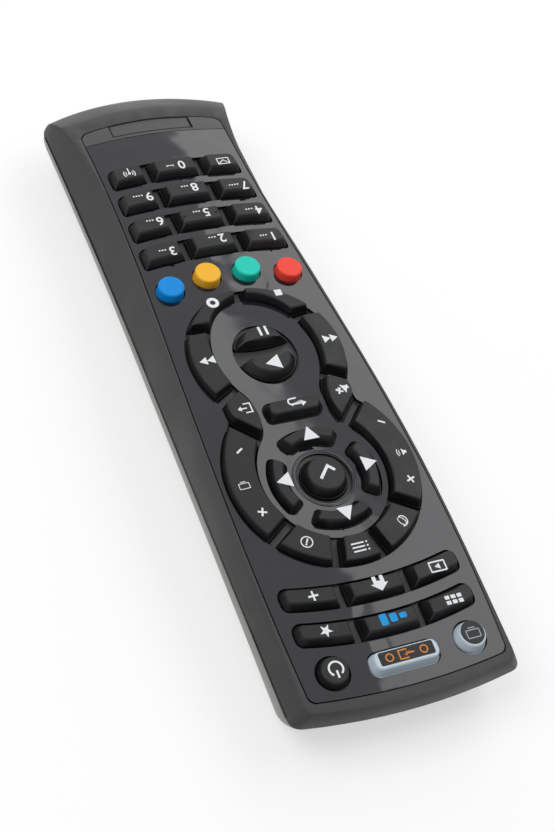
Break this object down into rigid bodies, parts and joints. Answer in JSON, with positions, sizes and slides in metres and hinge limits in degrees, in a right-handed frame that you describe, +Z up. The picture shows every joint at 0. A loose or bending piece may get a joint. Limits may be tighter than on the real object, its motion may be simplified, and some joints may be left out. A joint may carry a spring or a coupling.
{
  "type": "tv remote control",
  "caption": "Wide handheld infrared remote with a two-ring keypad, coloured keys, number keys and a sliding battery door.",
  "frame": {"origin": "middle of the footprint, on the flat underside", "axes": "+Z up out of the keypad, +Y towards the infrared end, +X to the right of a user who holds it, seen with the infrared end away"},
  "size_m": [0.0622, 0.204, 0.0263],
  "materials": {
    "upper_shell": "fine spark-eroded texture",
    "lower_shell": "fine spark-eroded texture",
    "gloss_plate": "polished",
    "heel": "satin",
    "key_rubber": "satin coated",
    "red_rubber": "satin coated",
    "green_rubber": "satin coated",
    "yellow_rubber": "satin coated",
    "blue_rubber": "satin coated",
    "silicone_sheet": "as moulded",
    "board": "lacquered",
    "chip": "moulded epoxy",
    "capacitor": "drawn can",
    "cell_jacket": "printed steel jacket",
    "plated_steel": "nickel plated",
    "screw_steel": "black zinc plated",
    "emitter_resin": "clear dark epoxy"
  },
  "bodies": {
    "case": {"upper_case": "upper_shell", "face_plate": "gloss_plate", "centre_plate": "gloss_plate", "heel_plate": "heel", "lower_case": "lower_shell", "keypad_sheet": "silicone_sheet", "circuit_board": "board", "controller_chip": "chip", "smoothing_capacitor": "capacitor", "cell_1": "cell_jacket", "cell_2": "cell_jacket", "battery_springs": "plated_steel", "battery_contacts": "plated_steel", "case_screws": "screw_steel", "ir_emitter": "emitter_resin"},
    "battery_door": {"battery_door": "lower_shell"},
    "tv_key": {"tv_key": "key_rubber"},
    "input_key": {"input_key": "key_rubber"},
    "power_key": {"power_key": "key_rubber"},
    "apps_key": {"apps_key": "key_rubber"},
    "service_key": {"service_key": "key_rubber"},
    "favourites_key": {"favourites_key": "key_rubber"},
    "media_key": {"media_key": "key_rubber"},
    "home_key": {"home_key": "key_rubber"},
    "plus_key": {"plus_key": "key_rubber"},
    "guide_key": {"guide_key": "key_rubber"},
    "info_key": {"info_key": "key_rubber"},
    "web_key": {"web_key": "key_rubber"},
    "channel_rocker": {"channel_rocker": "key_rubber"},
    "volume_rocker": {"volume_rocker": "key_rubber"},
    "exit_key": {"exit_key": "key_rubber"},
    "mute_key": {"mute_key": "key_rubber"},
    "forward_key": {"forward_key": "key_rubber"},
    "rewind_key": {"rewind_key": "key_rubber"},
    "record_key": {"record_key": "key_rubber"},
    "stop_key": {"stop_key": "key_rubber"},
    "up_key": {"up_key": "key_rubber"},
    "right_key": {"right_key": "key_rubber"},
    "down_key": {"down_key": "key_rubber"},
    "left_key": {"left_key": "key_rubber"},
    "ok_key": {"ok_key": "key_rubber"},
    "back_key": {"back_key": "key_rubber"},
    "play_key": {"play_key": "key_rubber"},
    "pause_key": {"pause_key": "key_rubber"},
    "red_key": {"red_key": "red_rubber"},
    "green_key": {"green_key": "green_rubber"},
    "yellow_key": {"yellow_key": "yellow_rubber"},
    "blue_key": {"blue_key": "blue_rubber"},
    "digit_1_key": {"digit_1_key": "key_rubber"},
    "digit_2_key": {"digit_2_key": "key_rubber"},
    "digit_3_key": {"digit_3_key": "key_rubber"},
    "digit_4_key": {"digit_4_key": "key_rubber"},
    "digit_5_key": {"digit_5_key": "key_rubber"},
    "digit_6_key": {"digit_6_key": "key_rubber"},
    "digit_7_key": {"digit_7_key": "key_rubber"},
    "digit_8_key": {"digit_8_key": "key_rubber"},
    "digit_9_key": {"digit_9_key": "key_rubber"},
    "message_key": {"message_key": "key_rubber"},
    "digit_0_key": {"digit_0_key": "key_rubber"},
    "radio_key": {"radio_key": "key_rubber"}
  },
  "joints": [
    {"name": "tv_key_press", "type": "slide", "parent": "case", "child": "tv_key", "axis": [0, 0, -1], "range_m": [0, 0.0008], "stiffness_N_per_m": 300},
    {"name": "input_key_press", "type": "slide", "parent": "case", "child": "input_key", "axis": [0, 0, -1], "range_m": [0, 0.0008], "stiffness_N_per_m": 300},
    {"name": "power_key_press", "type": "slide", "parent": "case", "child": "power_key", "axis": [0, 0, -1], "range_m": [0, 0.0008], "stiffness_N_per_m": 300},
    {"name": "apps_key_press", "type": "slide", "parent": "case", "child": "apps_key", "axis": [0, 0, -1], "range_m": [0, 0.0008], "stiffness_N_per_m": 300},
    {"name": "service_key_press", "type": "slide", "parent": "case", "child": "service_key", "axis": [0, 0, -1], "range_m": [0, 0.0008], "stiffness_N_per_m": 300},
    {"name": "favourites_key_press", "type": "slide", "parent": "case", "child": "favourites_key", "axis": [0, 0, -1], "range_m": [0, 0.0008], "stiffness_N_per_m": 300},
    {"name": "media_key_press", "type": "slide", "parent": "case", "child": "media_key", "axis": [0, 0, -1], "range_m": [0, 0.0008], "stiffness_N_per_m": 300},
    {"name": "home_key_press", "type": "slide", "parent": "case", "child": "home_key", "axis": [0, 0, -1], "range_m": [0, 0.0008], "stiffness_N_per_m": 300},
    {"name": "plus_key_press", "type": "slide", "parent": "case", "child": "plus_key", "axis": [0, 0, -1], "range_m": [0, 0.0008], "stiffness_N_per_m": 300},
    {"name": "guide_key_press", "type": "slide", "parent": "case", "child": "guide_key", "axis": [0, 0, -1], "range_m": [0, 0.0008], "stiffness_N_per_m": 300},
    {"name": "info_key_press", "type": "slide", "parent": "case", "child": "info_key", "axis": [0, 0, -1], "range_m": [0, 0.0008], "stiffness_N_per_m": 300},
    {"name": "web_key_press", "type": "slide", "parent": "case", "child": "web_key", "axis": [0, 0, -1], "range_m": [0, 0.0008], "stiffness_N_per_m": 300},
    {"name": "channel_rocker_rock", "type": "hinge", "parent": "case", "child": "channel_rocker", "pos_m": [0.02115, 0.03833, 0.02], "axis": [0.9976, -0.0698, 0], "range_deg": [-2.8, 2.8], "stiffness_Nm_per_rad": 0.05},
    {"name": "volume_rocker_rock", "type": "hinge", "parent": "case", "child": "volume_rocker", "pos_m": [-0.02115, 0.03833, 0.02], "axis": [-0.9976, -0.0698, 0], "range_deg": [-2.8, 2.8], "stiffness_Nm_per_rad": 0.05},
    {"name": "exit_key_press", "type": "slide", "parent": "case", "child": "exit_key", "axis": [0, 0, -1], "range_m": [0, 0.0008], "stiffness_N_per_m": 300},
    {"name": "mute_key_press", "type": "slide", "parent": "case", "child": "mute_key", "axis": [0, 0, -1], "range_m": [0, 0.0008], "stiffness_N_per_m": 300},
    {"name": "forward_key_press", "type": "slide", "parent": "case", "child": "forward_key", "axis": [0, 0, -1], "range_m": [0, 0.0008], "stiffness_N_per_m": 300},
    {"name": "rewind_key_press", "type": "slide", "parent": "case", "child": "rewind_key", "axis": [0, 0, -1], "range_m": [0, 0.0008], "stiffness_N_per_m": 300},
    {"name": "record_key_press", "type": "slide", "parent": "case", "child": "record_key", "axis": [0, 0, -1], "range_m": [0, 0.0008], "stiffness_N_per_m": 300},
    {"name": "stop_key_press", "type": "slide", "parent": "case", "child": "stop_key", "axis": [0, 0, -1], "range_m": [0, 0.0008], "stiffness_N_per_m": 300},
    {"name": "up_key_press", "type": "slide", "parent": "case", "child": "up_key", "axis": [0, 0, -1], "range_m": [0, 0.0008], "stiffness_N_per_m": 300},
    {"name": "right_key_press", "type": "slide", "parent": "case", "child": "right_key", "axis": [0, 0, -1], "range_m": [0, 0.0008], "stiffness_N_per_m": 300},
    {"name": "down_key_press", "type": "slide", "parent": "case", "child": "down_key", "axis": [0, 0, -1], "range_m": [0, 0.0008], "stiffness_N_per_m": 300},
    {"name": "left_key_press", "type": "slide", "parent": "case", "child": "left_key", "axis": [0, 0, -1], "range_m": [0, 0.0008], "stiffness_N_per_m": 300},
    {"name": "ok_key_press", "type": "slide", "parent": "case", "child": "ok_key", "axis": [0, 0, -1], "range_m": [0, 0.0008], "stiffness_N_per_m": 300},
    {"name": "back_key_press", "type": "slide", "parent": "case", "child": "back_key", "axis": [0, 0, -1], "range_m": [0, 0.0008], "stiffness_N_per_m": 300},
    {"name": "play_key_press", "type": "slide", "parent": "case", "child": "play_key", "axis": [0, 0, -1], "range_m": [0, 0.0008], "stiffness_N_per_m": 300},
    {"name": "pause_key_press", "type": "slide", "parent": "case", "child": "pause_key", "axis": [0, 0, -1], "range_m": [0, 0.0008], "stiffness_N_per_m": 300},
    {"name": "red_key_press", "type": "slide", "parent": "case", "child": "red_key", "axis": [0, 0, -1], "range_m": [0, 0.0008], "stiffness_N_per_m": 300},
    {"name": "green_key_press", "type": "slide", "parent": "case", "child": "green_key", "axis": [0, 0, -1], "range_m": [0, 0.0008], "stiffness_N_per_m": 300},
    {"name": "yellow_key_press", "type": "slide", "parent": "case", "child": "yellow_key", "axis": [0, 0, -1], "range_m": [0, 0.0008], "stiffness_N_per_m": 300},
    {"name": "blue_key_press", "type": "slide", "parent": "case", "child": "blue_key", "axis": [0, 0, -1], "range_m": [0, 0.0008], "stiffness_N_per_m": 300},
    {"name": "digit_1_key_press", "type": "slide", "parent": "case", "child": "digit_1_key", "axis": [0, 0, -1], "range_m": [0, 0.0008], "stiffness_N_per_m": 300},
    {"name": "digit_2_key_press", "type": "slide", "parent": "case", "child": "digit_2_key", "axis": [0, 0, -1], "range_m": [0, 0.0008], "stiffness_N_per_m": 300},
    {"name": "digit_3_key_press", "type": "slide", "parent": "case", "child": "digit_3_key", "axis": [0, 0, -1], "range_m": [0, 0.0008], "stiffness_N_per_m": 300},
    {"name": "digit_4_key_press", "type": "slide", "parent": "case", "child": "digit_4_key", "axis": [0, 0, -1], "range_m": [0, 0.0008], "stiffness_N_per_m": 300},
    {"name": "digit_5_key_press", "type": "slide", "parent": "case", "child": "digit_5_key", "axis": [0, 0, -1], "range_m": [0, 0.0008], "stiffness_N_per_m": 300},
    {"name": "digit_6_key_press", "type": "slide", "parent": "case", "child": "digit_6_key", "axis": [0, 0, -1], "range_m": [0, 0.0008], "stiffness_N_per_m": 300},
    {"name": "digit_7_key_press", "type": "slide", "parent": "case", "child": "digit_7_key", "axis": [0, 0, -1], "range_m": [0, 0.0008], "stiffness_N_per_m": 300},
    {"name": "digit_8_key_press", "type": "slide", "parent": "case", "child": "digit_8_key", "axis": [0, 0, -1], "range_m": [0, 0.0008], "stiffness_N_per_m": 300},
    {"name": "digit_9_key_press", "type": "slide", "parent": "case", "child": "digit_9_key", "axis": [0, 0, -1], "range_m": [0, 0.0008], "stiffness_N_per_m": 300},
    {"name": "message_key_press", "type": "slide", "parent": "case", "child": "message_key", "axis": [0, 0, -1], "range_m": [0, 0.0008], "stiffness_N_per_m": 300},
    {"name": "digit_0_key_press", "type": "slide", "parent": "case", "child": "digit_0_key", "axis": [0, 0, -1], "range_m": [0, 0.0008], "stiffness_N_per_m": 300},
    {"name": "radio_key_press", "type": "slide", "parent": "case", "child": "radio_key", "axis": [0, 0, -1], "range_m": [0, 0.0008], "stiffness_N_per_m": 300},
    {"name": "door_slide", "type": "slide", "parent": "case", "child": "battery_door", "axis": [0, -1, 0], "range_m": [0, 0.066]}
  ]
}
